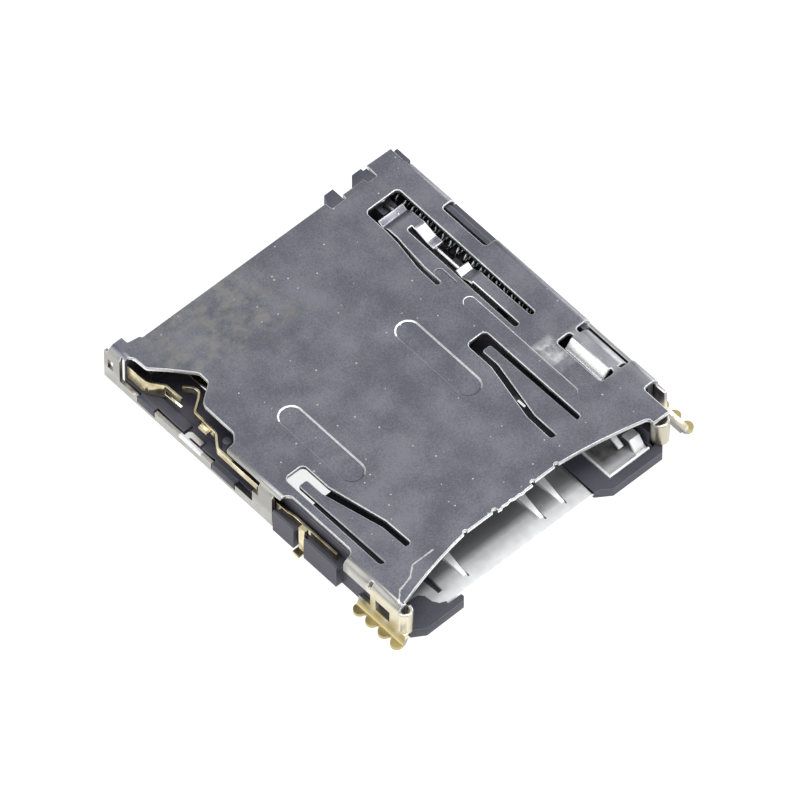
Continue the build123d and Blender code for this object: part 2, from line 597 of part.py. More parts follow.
# Housing
block_out = 0.1
lug_out = 0.02
body_front = front + 0.43
entry_y = front - 1.42
left_block = [
    (-body_half + 0.2, body_front + 0.1), (-body_half + 0.2, front - 1.12), (-half + 0.9, entry_y - 0.03),
    (-half + 2.7, entry_y - 0.01), (-half + 2.85, front - 1.27), (-half + 2.83, front - 1.14),
    (-half + 2.2, front - 1.12), (-half + 2.6, body_front + 0.1),
]
right_block = [
    (rail_left, body_front + 0.1), (rail_left, front - 1.0), (rail_left + 0.6, entry_y),
    (tray_right + 0.15, entry_y), (tray_right + 0.5, front - 1.05), (tray_right + 0.5, body_front + 0.1),
]
with BuildPart() as housing:
    with Locations((0, (housing_rear + body_front) / 2, roof / 2)):
        Box(2 * body_half, housing_rear - body_front, roof)
    chamfer(housing.edges().filter_by(Axis.Y).group_by(Axis.Z)[-1], 0.09)
    # card pocket and spring channel side by side, both open towards the front
    with Locations(((card_left - run + channel_right) / 2, pocket_rear - 10, floor + 5)):
        Box(channel_right - card_left + run, 20, 10, mode=Mode.SUBTRACT)
    # post that holds the fixed end of the cam pin
    with Locations((pin_x, (pin_y - post + pocket_rear) / 2, column_top / 2)):
        Box(column_right - column_left, pocket_rear - pin_y + post, column_top)
    with Locations((pin_x, pin_y, floor + 5)):
        Cylinder(pin_wire / 2 + seat, 10, mode=Mode.SUBTRACT)
    # entry: low blocks at both sides of a thin web, which carries the plate
    with Locations(((plate_left + tray_right) / 2, floor_front - 5, 5)):
        Box(tray_right - plate_left + 2 * seat, 10, 10, mode=Mode.SUBTRACT)
    with BuildSketch():
        add(outline(left_block))
        add(outline(right_block))
    extrude(amount=floor)
    with BuildSketch(Plane.XY.offset(web)):
        offset(outline(plate_line), seat, kind=Kind.INTERSECTION)
    extrude(amount=plate + seat, mode=Mode.SUBTRACT)
    with BuildSketch(Plane.XY.offset(web)):
        offset(outline(plate_line), seat, kind=Kind.INTERSECTION)
        with Locations((0, floor_front + 5)):
            Rectangle(width, 10, mode=Mode.SUBTRACT)
    extrude(amount=5, mode=Mode.SUBTRACT)
    with Locations(((plate_left + tray_right) / 2, (ramp_rear - 0.6 + floor_front + 0.5) / 2, web / 2)):
        Box(tray_right - plate_left, floor_front - ramp_rear + 1.1, web)
    # rail over the plate
    with BuildSketch(Plane.XY.offset(plate_top + seat)):
        with Locations(((rail_left + tray_left - seat) / 2, (front - 1.1 + floor_front + 0.5) / 2)):
            Rectangle(tray_left - seat - rail_left, floor_front + 0.5 - front + 1.1)
    extrude(amount=floor - plate_top - seat)
    with Locations((tray_right + 0.3, front - 0.09, floor + 0.25)):
        Box(0.36, 1.24, 0.5)
    # blocks and lugs that stand through the openings of the cover
    for spans, x in ((block_spans, -half - block_out + 0.25), (lug_spans, -half - lug_out + 0.25)):
        for y_high, y_low, z_low, z_high in spans:
            with Locations((x, (y_high + y_low) / 2, (z_low + z_high) / 2)):
                Box(0.5, y_high - y_low, z_high - z_low)
    outer_edges = [
        edge for edge in housing.edges().filter_by(Axis.Y)
        if abs(edge.center().X + half + block_out) < seat and edge.center().Z > floor
    ]
    chamfer(outer_edges, 0.12)
    with Locations((half - 0.2, rear - 4.175, (floor + 0.21 + edge_level - 0.18) / 2)):
        Box(0.4, 2.25, edge_level - 0.18 - floor - 0.21)
    # pegs at the rear
    peg_a_line = [
        (peg_a, notch_y + seat), (peg_a, rear), (peg_a + 0.16, rear + 0.33),
        (peg_a + peg_a_wide, rear + 0.33), (peg_a + peg_a_wide, notch_y + seat),
    ]
    peg_b_line = [
        (peg_b - 0.6, rear - 0.1), (peg_b - 0.25, rear + 0.33), (peg_b + 0.2, rear + 0.33),
        (peg_b + 0.2, rear + 0.2), (peg_b + peg_b_wide, rear + 0.2), (peg_b + peg_b_wide, notch_y + seat),
        (peg_b, notch_y + seat), (peg_b, rear - 0.1),
    ]
    peg_top = height - 0.05
    with BuildSketch(Plane.XY.offset(floor)):
        add(outline(peg_a_line))
        add(outline(peg_b_line))
    extrude(amount=peg_top - floor)
    with Locations((peg_b - 0.3, (rear + housing_rear) / 2 - 0.1, roof / 2)):
        Box(0.6, rear_setback, roof)
    # corner peg over the right wall, joined to the body under the cover
    peg_low = height - bend + seat
    for x_low, y_high, z_high in (
        (half - 0.3, housing_rear - seat, under - 0.07), (half - 0.19, rear + 0.11, peg_top)
    ):
        with Locations(((x_low + half - 0.02) / 2, (y_high + rear - 0.62) / 2, (z_high + peg_low) / 2)):
            Box(half - 0.02 - x_low, y_high - rear + 0.62, z_high - peg_low)
    # room for the detection switch and the hooked tab along the left wall
    for x, wide, y_high, y_low, z_low in (
        (-half + 0.21, 0.46, rear - 0.25, front + 2.13, switch_low - seat),
        (-half + 0.9, 1.2, rear - 0.35, rear - 5.95, switch_low - seat),
        (-half + 0.4, 0.84, rear - 0.25, rear - 1.2, switch_floor),
        (-half + 0.3, 0.64, rear - 1.1, rear - 7.5, switch_floor),
        (-half + 0.3, 0.64, rear - 3.43, rear - 4.4, floor - 0.09),
    ):
        with Locations((x, (y_high + y_low) / 2, z_low + 5)):
            Box(wide, y_high - y_low, 10, mode=Mode.SUBTRACT)
    with Locations((-half + 0.72, rear - 5.2, (floor + switch_high) / 2)):
        Cylinder(0.17, switch_high - floor)
    # room for the side flap of the cover
    for x_low, z_low in ((flap_x - sheet / 2 - seat, under - 0.87), (half - flap_in - 0.12, under - 0.52)):
        with Locations((x_low + 0.5, (flap_rear + flap_front) / 2, z_low + 5)):
            Box(1.0, flap_rear - flap_front + 2 * run, 10, mode=Mode.SUBTRACT)
    # openings in the floor
    with Locations((-half + 2.03, front + 6.3, 0)):
        Box(1.4, 1.87, 2, mode=Mode.SUBTRACT)
    with Locations((card_right - 1.445, front + 3.73, 0)):
        Box(0.3, 0.6, 2, mode=Mode.SUBTRACT)
    for x in contact_xs:
        with Locations((x, pocket_rear - 1.7, 0)):
            Box(contact_width + 0.14, 3.4, 2, mode=Mode.SUBTRACT)
        with Locations((x, (pocket_rear + housing_rear) / 2, contact_z)):
            Box(contact_width, housing_rear - pocket_rear + 1, contact_sheet, mode=Mode.SUBTRACT)

# Slider: cam column with the heart groove, stop arm for the card, seat for the coil spring
seat_rear = pocket_rear - spring_space
column_mid = (column_low + column_top) / 2
column_high = column_top - column_low
lane = pin_wire / 2 + 0.03
with BuildPart() as slider:
    with Locations((pin_x, (column_rear + column_front) / 2, column_mid)):
        Box(column_width, column_rear - column_front, column_high)
    with Locations(((column_left - arm_reach + column_right) / 2, arm_front + arm_deep / 2, column_mid)):
        Box(column_width + arm_reach, arm_deep, column_high)
    with Locations(((column_right + channel_right - run) / 2, seat_rear - 0.4, column_mid)):
        Box(channel_right - run - column_right, 0.8, column_high)
    with Locations((spring_x, seat_rear + 0.3, spring_z)):
        Cylinder(spring_radius - spring_wire - 0.08, 0.62, rotation=(90, 0, 0))
    # heart groove: in along one side, latch at the notch, back along the other
    start = (pin_x, tip_y)
    lobe_in = (pin_x - heart_half, tip_y - travel)
    lobe_out = (pin_x + heart_half, tip_y - travel)
    notch = (pin_x, tip_y - travel + overtravel)
    with BuildSketch(Plane.XY.offset(column_top - 0.22)):
        for a, b in ((start, lobe_in), (lobe_in, notch), (notch, lobe_out), (lobe_out, start)):
            angle = math.degrees(math.atan2(b[1] - a[1], b[0] - a[0]))
            with Locations(Location(((a[0] + b[0]) / 2, (a[1] + b[1]) / 2, 0), (0, 0, angle))):
                SlotOverall(math.dist(a, b) + 2 * lane, 2 * lane)
    extrude(amount=1, mode=Mode.SUBTRACT)
    # recess for the lock spring
    with Locations((column_left, arm_front - 0.8, column_mid)):
        Box(0.24, 1.5, column_high + 1, mode=Mode.SUBTRACT)

# Lock spring on the slider: its bump drops into the notch at the side of the card
lock_x = column_left + 0.07
lock_line = [
    (lock_x, arm_front - 0.1), (lock_x, arm_front - 0.6), (lock_x - 0.32, arm_front - 0.9),
    (lock_x - 0.32, arm_front - 1.1), (lock_x - 0.05, arm_front - 1.48),
]
with BuildPart() as lock_spring:
    with BuildSketch(Plane.XY.offset(column_low + 0.06)):
        add(strip(lock_line, 0.09, 0.1))
    extrude(amount=0.6)

# Coil spring, wound along Z and then laid along the slider's channel
spring_long = spring_space - 2 * seat
spring_mean = spring_radius - spring_wire / 2
turn_steps = 12
with BuildPart() as coil:
    with BuildLine() as winding:
        Polyline([
            (
                spring_mean * math.cos(2 * math.pi * step / turn_steps),
                spring_mean * math.sin(2 * math.pi * step / turn_steps),
                (spring_long - spring_wire) * step / (turn_steps * spring_turns),
            )
            for step in range(turn_steps * spring_turns + 1)
        ])
    with BuildSketch(Plane(origin=winding.line @ 0, z_dir=winding.line % 0)):
        RegularPolygon(spring_wire / 2, 6)
    sweep(transition=Transition.RIGHT)
with BuildPart() as coil_spring:
    with Locations(Location((spring_x, seat_rear + seat + spring_wire / 2, spring_z), (-90, 0, 0))):
        add(coil.part)

# Cam pin: bent wire, one end in the post and the other in the heart groove
with BuildPart() as cam_pin:
    with BuildLine() as wire:
        Polyline(
            (pin_x, pin_y, floor + 0.1), (pin_x, pin_y, pin_z - 0.1), (pin_x, pin_y - 0.03, pin_z - 0.03),
            (pin_x, pin_y - 0.1, pin_z), (pin_x, tip_y + 0.1, pin_z), (pin_x, tip_y + 0.03, pin_z - 0.03),
            (pin_x, tip_y, pin_z - 0.1), (pin_x, tip_y, column_top - 0.2),
        )
    with BuildSketch(Plane(origin=wire.line @ 0, z_dir=wire.line % 0)):
        RegularPolygon(pin_wire / 2, 8)
    sweep(transition=Transition.RIGHT)

shell.part.label = "shell"
housing.part.label = "housing"
base_plate.part.label = "base_plate"
detect_fixed.part.label = "detect_fixed"
detect_leaf.part.label = "detect_leaf"
slider.part.label = "slider"
lock_spring.part.label = "lock_spring"
coil_spring.part.label = "coil_spring"
cam_pin.part.label = "cam_pin"
pieces = [shell, housing, base_plate, detect_fixed, detect_leaf, slider, lock_spring, coil_spring, cam_pin]
for piece in pieces + contacts:
    export_step(piece.part, f"parts/{piece.part.label}.step")
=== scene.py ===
"""Looks of the memory card socket: cover, base, contacts, switch, slider, spring and studio."""
import logging
import math
from dataclasses import dataclass
from enum import Enum, IntEnum
from typing import Iterable

import bmesh
import bpy
from mathutils import Matrix, Vector


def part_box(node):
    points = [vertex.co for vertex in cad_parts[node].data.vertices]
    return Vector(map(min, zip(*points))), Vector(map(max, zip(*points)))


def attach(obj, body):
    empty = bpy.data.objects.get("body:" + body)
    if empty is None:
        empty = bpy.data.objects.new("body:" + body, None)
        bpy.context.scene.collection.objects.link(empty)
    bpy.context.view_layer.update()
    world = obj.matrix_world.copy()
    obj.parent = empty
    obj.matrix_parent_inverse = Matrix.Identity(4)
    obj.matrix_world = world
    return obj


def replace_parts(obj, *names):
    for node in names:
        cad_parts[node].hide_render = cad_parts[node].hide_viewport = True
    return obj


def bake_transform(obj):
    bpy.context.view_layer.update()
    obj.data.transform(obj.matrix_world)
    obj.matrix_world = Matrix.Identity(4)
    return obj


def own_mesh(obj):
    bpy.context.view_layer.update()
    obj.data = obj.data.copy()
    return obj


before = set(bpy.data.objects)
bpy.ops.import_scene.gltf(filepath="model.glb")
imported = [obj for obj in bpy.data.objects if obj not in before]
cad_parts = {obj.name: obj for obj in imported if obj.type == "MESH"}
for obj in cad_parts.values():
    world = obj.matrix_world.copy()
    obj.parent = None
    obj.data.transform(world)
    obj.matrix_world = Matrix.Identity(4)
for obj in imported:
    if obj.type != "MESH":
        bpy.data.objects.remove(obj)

LOG = logging.getLogger("socket")

Colour = tuple[float, float, float]
Point = tuple[float, float, float]
Box = tuple[Point, Point]

# Lengths are in millimetres, or in the studio in metres, and angles are in degrees.
MM = 0.001
SAME_SPOT = 0.0008  # corners closer than this are made one
FLAT_ANGLE = 0.6  # faces that meet at less than this are joined
TINY = 0.008  # edges shorter than this are closed up before any rounding
SHARP = 40.0  # edges over this angle are rounded
UPRIGHT = 0.3  # a face whose normal rises less is a wall, and one whose normal rises more looks up
ON_TOP = 0.005  # corners less than this below the cover's face lie on it
OVERSHOOT = 0.02  # corners further than this outside the CAD box are reported
ROUND_SHADE = 60.0  # largest angle that is shaded smooth on round wire
LARGE_FACES = 60  # over 50, the large faces lead the shading of the corners
SECOND = 1  # material index of a piece's second finish


class Body(Enum):
    """The moving groups of the socket."""

    BASE = "base"
    SLIDER = "slider"
    PIN = "pin"
    LEAF = "leaf"


class Slot(Enum):
    """The material slots of the record."""

    SHELL = "shell"
    HOUSING = "housing"
    PLATE = "base_plate"
    CONTACTS = "contacts"
    DETECT = "detect"
    SLIDER = "slider"
    LOCK = "lock_spring"
    COIL = "coil_spring"
    PIN = "cam_pin"


class CoverFace(IntEnum):
    """Material indices on the cover, after the plain sheet at 0."""

    # painted highlight: cut edges, and rib slopes that face the front
    CUT_EDGE = 1
    # painted half highlight: rounded rims, and rib slopes that face left
    RIM = 2
    # painted highlight: slopes of the tongues and the catch, near-white
    POLISHED = 3


# Shader groups shared by the finishes

FLECK_CHANCE = 0.66  # share of the cells that hold no fleck
TONE_SPAN = (0.40, 0.60)  # tones of the grain that get the dark and the light colour in full
PATCH_SPAN = (0.62, 0.42)  # noise of a patchy zone where it is whole, and where it breaks up
LINE_EDGE = 80.0  # steepness of a line's border
MIX_COLOURS = (6, 7)  # the Mix node's two colour inputs
MIX_RESULT = 2  # and its colour output


def add_node(
    tree: bpy.types.NodeTree, kind: str, links: dict | None = None, **values: object
) -> bpy.types.Node:
    """Adds a node to a tree, sets its properties and feeds its inputs.

    Args:
        tree: The node tree.
        kind: Blender's node type.
        links: Input name or number, with the socket or plain value that goes in.
        **values: Properties of the node.

    Returns:
        The new node.
    """
    made = tree.nodes.new(kind)
    for name, value in values.items():
        setattr(made, name, value)
    for name, value in (links or {}).items():
        target = made.inputs[name]
        if isinstance(value, bpy.types.NodeSocket):
            tree.links.new(value, target)
        else:
            target.default_value = value
    return made


class GroupMaker:
    """Builds a shader node group one node at a time."""

    def __init__(self, name: str, inputs: dict[str, float | Point]) -> None:
        """Starts a group.

        Args:
            name: Name of the group.
            inputs: Names of the inputs with their defaults, each a number or a vector.
        """
        self.tree = bpy.data.node_groups.new(name, "ShaderNodeTree")
        self.into = self.tree.nodes.new("NodeGroupInput")
        self.out = self.tree.nodes.new("NodeGroupOutput")
        for label, default in inputs.items():
            kind = "NodeSocketFloat" if isinstance(default, float) else "NodeSocketVector"
            made = self.tree.interface.new_socket(name=label, in_out="INPUT", socket_type=kind)
            made.default_value = default

    def finish(self, **outputs: bpy.types.NodeSocket) -> bpy.types.NodeTree:
        """Adds the group's outputs, all numbers, and feeds them.

        Args:
            **outputs: Names of the outputs with the sockets that feed them.

        Returns:
            The group.
        """
        for name, value in outputs.items():
            self.tree.interface.new_socket(
                name=name, in_out="OUTPUT", socket_type="NodeSocketFloat"
            )
            self.tree.links.new(value, self.out.inputs[name])
        return self.tree

    def millimetres(self) -> bpy.types.NodeSocket:
        """Adds the Object coordinates in millimetres.

        Returns:
            The vector socket.
        """
        place = add_node(self.tree, "ShaderNodeTexCoord").outputs["Object"]
        return self.vector("SCALE", place, Scale=1 / MM)

    def noise(self, place: bpy.types.NodeSocket, **inputs: object) -> bpy.types.NodeSocket:
        """Adds a noise texture.

        Args:
            place: Where the noise is read.
            **inputs: Its other inputs.

        Returns:
            The noise, as one number.
        """
        return add_node(self.tree, "ShaderNodeTexNoise", {"Vector": place, **inputs}).outputs[0]

    def math(
        self, operation: str, *values: bpy.types.NodeSocket | float, clamp: bool = False
    ) -> bpy.types.NodeSocket:
        """Adds a calculation with numbers.

        Args:
            operation: Blender's name of the operation.
            *values: The numbers, in the order of the inputs.
            clamp: Holds the result between 0 and 1.

        Returns:
            The result.
        """
        links = dict(enumerate(values))
        made = add_node(self.tree, "ShaderNodeMath", links, operation=operation, use_clamp=clamp)
        return made.outputs[0]

    def vector(
        self, operation: str, *values: bpy.types.NodeSocket | Point, result: str = "Vector",
        **inputs: object
    ) -> bpy.types.NodeSocket:
        """Adds a calculation with vectors.

        Args:
            operation: Blender's name of the operation.
            *values: The vectors, in the order of the inputs.
            result: Which output is wanted, "Vector" or "Value".
            **inputs: Inputs that are given by name.

        Returns:
            The result.
        """
        links = {**dict(enumerate(values)), **inputs}
        made = add_node(self.tree, "ShaderNodeVectorMath", links, operation=operation)
        return made.outputs[result]


def make_grain_group() -> bpy.types.NodeTree:
    """A mottled metal surface: fine grain, soft clouds and small bright flecks.

    Returns:
        The group, with outputs Tone, Flecks and Height.
    """
    group = GroupMaker(
        "sheet_grain",
        {"Grain Scale": 9.0, "Cloud Scale": 0.7, "Fleck Scale": 2.6, "Fleck Size": 0.07},
    )
    into, place = group.into.outputs, group.millimetres()
    grain = group.noise(place, Scale=into["Grain Scale"], Detail=3.0)
    clouds = group.noise(place, Scale=into["Cloud Scale"], Detail=2.0)
    half = group.math("MULTIPLY", grain, 0.5)
    tone = group.math("MULTIPLY_ADD", clouds, 0.5, half)
    cells = add_node(
        group.tree, "ShaderNodeTexVoronoi", {"Vector": place, "Scale": into["Fleck Scale"]}
    )
    near = group.math("LESS_THAN", cells.outputs["Distance"], into["Fleck Size"])
    chance = add_node(group.tree, "ShaderNodeSeparateColor", {0: cells.outputs["Color"]})
    some = group.math("GREATER_THAN", chance.outputs[0], FLECK_CHANCE)
    flecks = group.math("MULTIPLY", near, some)
    return group.finish(Tone=tone, Flecks=flecks, Height=grain)


def make_zone_group() -> bpy.types.NodeTree:
    """A soft-edged box in millimetres, used for plating, wear, painted light and painted shade.

    Returns:
        The group, with output Mask.
    """
    group = GroupMaker(
        "zone", {"Low": (-1.0, -1.0, -1.0), "High": (1.0, 1.0, 1.0), "Soft": 0.1, "Patchy": 0.0}
    )
    into, place = group.into.outputs, group.millimetres()
    above = group.vector("SUBTRACT", place, into["Low"])
    below = group.vector("SUBTRACT", into["High"], place)
    least = group.vector("MINIMUM", above, below)
    axes = add_node(group.tree, "ShaderNodeSeparateXYZ", {0: least}).outputs
    plan = group.math("MINIMUM", axes[0], axes[1])
    depth = group.math("MINIMUM", plan, axes[2])
    mask = group.math("DIVIDE", depth, into["Soft"], clamp=True)
    breakup = group.noise(place, Scale=1.6, Detail=4.0, Roughness=0.65)
    patch = add_node(
        group.tree, "ShaderNodeMapRange",
        {"Value": breakup, "From Min": PATCH_SPAN[0], "From Max": PATCH_SPAN[1]},
    )
    gaps = group.math("MULTIPLY", patch.outputs[0], into["Patchy"])
    kept = group.math("SUBTRACT", 1.0, gaps)
    return group.finish(Mask=group.math("MULTIPLY", mask, kept))


def make_scratch_and_shadow_line_group() -> bpy.types.NodeTree:
    """A thin broken line along a straight line in plan, for scratched marks and painted shadow
    lines.

    Returns:
        The group, with output Mask.
    """
    group = GroupMaker("scratch_and_shadow_line", {"Start": (0.0, 0.0, 0.0), "End": (1.0, 0.0, 0.0), "Width": 0.03})
    into, place = group.into.outputs, group.millimetres()
    flat = group.vector("MULTIPLY", place, (1.0, 1.0, 0.0))
    along = group.vector("SUBTRACT", into["End"], into["Start"])
    reach = group.vector("SUBTRACT", flat, into["Start"])
    dot = group.vector("DOT_PRODUCT", reach, along, result="Value")
    own = group.vector("DOT_PRODUCT", along, along, result="Value")
    part = group.math("DIVIDE", dot, own, clamp=True)
    foot = group.vector("SCALE", along, Scale=part)
    off = group.vector("SUBTRACT", reach, foot)
    size = group.vector("LENGTH", off, result="Value")
    breaks = group.noise(place, Scale=7.0, Detail=2.0)
    room = group.math("MULTIPLY", breaks, into["Width"])
    edge = group.math("SUBTRACT", room, size)
    return group.finish(Mask=group.math("MULTIPLY", edge, LINE_EDGE, clamp=True))


class Groups:
    """The shader groups, each built once."""

    grain: bpy.types.NodeTree
    zone: bpy.types.NodeTree
    scratch_and_shadow_line: bpy.types.NodeTree

    @classmethod
    def build(cls) -> None:
        """Builds every group before the first finish."""
        cls.grain = make_grain_group()
        cls.zone = make_zone_group()
        cls.scratch_and_shadow_line = make_scratch_and_shadow_line_group()


# Finishes


@dataclass(frozen=True)
class Zone:
    """A box of another colour on a finish."""

    low: Point
    high: Point
    colour: Colour
    soft: float = 0.1
    strength: float = 1.0
    patchy: float = 0.0


@dataclass(frozen=True)
class ScratchAndShadowLine:
    """A line between two points of the plan: a scratched mark, or a painted shadow line."""

    start: tuple[float, float]
    end: tuple[float, float]
    width: float = 0.07


@dataclass(frozen=True)
class Finish:
    """A metal or plastic surface with grain, flecks, zones of other colours or of painted light and
    shade, and lines for scratched marks or painted shadow.
    """

    name: str
    dark: Colour
    light: Colour
    metallic: float
    roughness: tuple[float, float]
    grain_scale: float = 9.0
    cloud_scale: float = 0.7
    fleck_scale: float = 2.6
    fleck_size: float = 0.0
    fleck_and_line_colour: Colour = (0.9, 0.9, 0.9)
    bump: float = 0.15
    bump_depth: float = 0.004
    zones: tuple[Zone, ...] = ()
    scratches_and_shadow_lines: tuple[ScratchAndShadowLine, ...] = ()

    def material(self) -> bpy.types.Material:
        """Builds the material.

        Returns:
            A node material that reads Object coordinates only.
        """
        made = bpy.data.materials.new(self.name)
        made.use_nodes = True
        tree = made.node_tree
        grain = add_node(
            tree, "ShaderNodeGroup",
            {
                "Grain Scale": self.grain_scale, "Cloud Scale": self.cloud_scale,
                "Fleck Scale": self.fleck_scale, "Fleck Size": self.fleck_size,
            },
            node_tree=Groups.grain,
        )
        ramp = add_node(
            tree, "ShaderNodeMapRange",
            {"Value": grain.outputs["Tone"], "From Min": TONE_SPAN[0], "From Max": TONE_SPAN[1]},
        )
        colour = self.blend(tree, ramp.outputs[0], self.dark, self.light)
        colour = self.blend(tree, grain.outputs["Flecks"], colour, self.fleck_and_line_colour)
        for zone in self.zones:
            mask = add_node(
                tree, "ShaderNodeGroup",
                {"Low": zone.low, "High": zone.high, "Soft": zone.soft, "Patchy": zone.patchy},
                node_tree=Groups.zone,
            )
            weight = add_node(
                tree, "ShaderNodeMath", {0: mask.outputs[0], 1: zone.strength},
                operation="MULTIPLY",
            )
            colour = self.blend(tree, weight.outputs[0], colour, zone.colour)
        # scratched marks and painted shadow lines, in the fleck colour
        for scratch_and_shadow_line in self.scratches_and_shadow_lines:
            mask = add_node(
                tree, "ShaderNodeGroup",
                {
                    "Start": (*scratch_and_shadow_line.start, 0.0), "End": (*scratch_and_shadow_line.end, 0.0),
                    "Width": scratch_and_shadow_line.width,
                },
                node_tree=Groups.scratch_and_shadow_line,
            )
            colour = self.blend(tree, mask.outputs[0], colour, self.fleck_and_line_colour)
        low, high = self.roughness
        rough = add_node(
            tree, "ShaderNodeMapRange",
            {"Value": grain.outputs["Tone"], "To Min": low, "To Max": high},
        )
        bump = add_node(
            tree, "ShaderNodeBump",
            {
                "Height": grain.outputs["Height"], "Strength": self.bump,
                "Distance": self.bump_depth * MM,
            },
        )
        shader = tree.nodes["Principled BSDF"]
        tree.links.new(colour, shader.inputs["Base Color"])
        tree.links.new(rough.outputs[0], shader.inputs["Roughness"])
        tree.links.new(bump.outputs[0], shader.inputs["Normal"])
        shader.inputs["Metallic"].default_value = self.metallic
        return made

    @staticmethod
    def blend(
        tree: bpy.types.NodeTree, mask: bpy.types.NodeSocket,
        first: bpy.types.NodeSocket | Colour, second: Colour
    ) -> bpy.types.NodeSocket:
        """Mixes two colours by a mask.

        Args:
            tree: The material's tree.
            mask: Where the second colour shows.
            first: A colour or a colour socket.
            second: A colour.

        Returns:
            The mixed colour.
        """
        under, over = MIX_COLOURS
        start = first if isinstance(first, bpy.types.NodeSocket) else (*first, 1.0)
        links = {"Factor": mask, under: start, over: (*second, 1.0)}
        return add_node(tree, "ShaderNodeMix", links, data_type="RGBA").outputs[MIX_RESULT]


GOLD_CREAM = (0.74, 0.68, 0.51)
OLIVE_GOLD = (0.50, 0.41, 0.18)
# painted reflection: the lighter grey of the cover's walls
WALL_SHEEN = (0.33, 0.325, 0.30)
# painted highlight: the white of the hooked tab on the left wall
TAB_HIGHLIGHT = (0.8, 0.8, 0.8)
RUBBED = (0.29, 0.28, 0.265)
# painted shade: the entry plate's grey under the cover's edge
UNDER_COVER_SHADE = (0.30, 0.30, 0.31)
# painted shadow: the dark lines beside the ramps of the entry plate
SHADOW_LINE_GREY = (0.12, 0.12, 0.12)
# Plating and painted light on the cover. The walls are painted lighter than the top of the same
# sheet, as a painted reflection of the bright floor.
PLATING_AND_SHEEN = (
    Zone((-9.0, -9.0, -1.0), (-6.6, 5.4, 1.96), WALL_SHEEN, 0.1),
    Zone((-9.0, 5.0, -1.0), (-6.7, 9.0, 1.84), WALL_SHEEN, 0.08),
    Zone((6.74, -9.0, -1.0), (9.0, 9.0, 1.74), WALL_SHEEN, 0.06),
    # painted light: a lighter, patchy band low on the left wall
    Zone((-9.0, -5.6, -1.0), (-6.6, 9.0, 0.9), (0.52, 0.51, 0.48), 0.35, 0.9, 0.5),
    # painted highlight: the hooked tab painted white
    Zone((-6.95, 3.0, 0.3), (-6.0, 4.2, 0.6), TAB_HIGHLIGHT, 0.02),
    # painted light: the upper front of the left wall, lighter
    Zone((-9.0, -9.0, 0.9), (-6.6, -4.8, 1.75), (0.62, 0.61, 0.58), 0.2, 0.8, 0.3),
    # plating colours: cream along the front and on the front of both walls, olive-gold on the wings
    Zone((-9.0, -9.0, 0.3), (9.0, -7.42, 1.8), (0.60, 0.55, 0.42), 0.2, 0.8),
    Zone((-9.0, -9.0, 0.3), (-6.6, -5.85, 1.75), GOLD_CREAM, 0.15, 0.8),
    Zone((6.7, -9.0, 0.3), (9.0, -6.2, 1.75), GOLD_CREAM, 0.15, 0.8),
    Zone((-9.0, -9.0, -1.0), (-6.9, -5.3, 0.34), OLIVE_GOLD, 0.08, 0.9),
    Zone((6.9, -9.0, -1.0), (9.0, -5.3, 0.34), OLIVE_GOLD, 0.08, 0.9),
)
# Wear and painted light on the cover's top.
WEAR_AND_SHEEN = (
    # painted light: a lighter, patchy spot on the shallow pressed dimple left of the catch window
    Zone((4.3, -3.9, 1.5), (5.4, -2.2, 2.3), (0.7, 0.7, 0.7), 0.35, 1.0, 0.8),
    # wear: a lighter brownish rubbed smear at the rear
    Zone((-6.4, 4.2, 1.0), (-0.4, 8.2, 2.8), RUBBED, 0.8, 0.75, 1.0),
    # painted light: the right bend beside the catch, lighter where it curves towards the light
    Zone((6.3, -7.6, 1.0), (7.4, -4.4, 2.8), (0.33, 0.33, 0.35), 0.25, 0.8, 0.3),
    Zone((5.6, -5.3, 1.0), (7.0, -2.5, 2.8), (0.46, 0.46, 0.48), 0.4, 0.85, 0.4),
)
SCRATCHES = (
    ScratchAndShadowLine((-4.25, -6.51), (-5.23, -6.51)),
    ScratchAndShadowLine((-5.23, -6.51), (-5.66, -6.86)),
    ScratchAndShadowLine((-5.66, -6.86), (-6.3, -7.02), 0.08),
    ScratchAndShadowLine((-6.3, -7.02), (-6.7, -7.4)),
)
# Painted shade on the entry plate: darker under the cover's edge and in the tray.
PLATE_SHADE = (
    Zone((-6.5, -6.93, -1.0), (2.6, 9.0, 3.0), UNDER_COVER_SHADE, 0.34, 0.95),
    Zone((0.1, -7.22, -1.0), (3.1, 9.0, 3.0), UNDER_COVER_SHADE, 0.3, 0.9, 0.3),
    Zone((3.3, -7.3, -1.0), (5.2, 9.0, 3.0), (0.10, 0.095, 0.09), 0.4, 0.9, 0.3),
)
RAMP_PLACES = (-3.35, 0.40, 1.42)  # the ramps of the entry plate, from left to right
# painted shadow: a dark line along the right side of each ramp
RAMP_SHADOW_LINES = tuple(ScratchAndShadowLine((x + 0.2, -5.9), (x + 0.075, -7.36)) for x in RAMP_PLACES)

# The sheet's dark grey is painted reflection: it stands in for the dark surroundings that the top
# mirrors.
COVER = Finish(
    "cover_sheet", (0.150, 0.153, 0.180), (0.238, 0.241, 0.272), metallic=1.0,
    roughness=(0.28, 0.38), grain_scale=17.0, fleck_scale=3.0, fleck_size=0.10,
    fleck_and_line_colour=(0.62, 0.62, 0.62), bump=0.3, zones=PLATING_AND_SHEEN + WEAR_AND_SHEEN, scratches_and_shadow_lines=SCRATCHES,
)
# painted highlight: the cut edges of the sheet and the rib slopes that face the front, far lighter
# than the sheet
COVER_HIGHLIGHT = Finish(
    "cover_painted_highlight", (0.66, 0.66, 0.65), (0.86, 0.86, 0.84), metallic=1.0,
    roughness=(0.30, 0.42), grain_scale=12.0, bump=0.2,
)
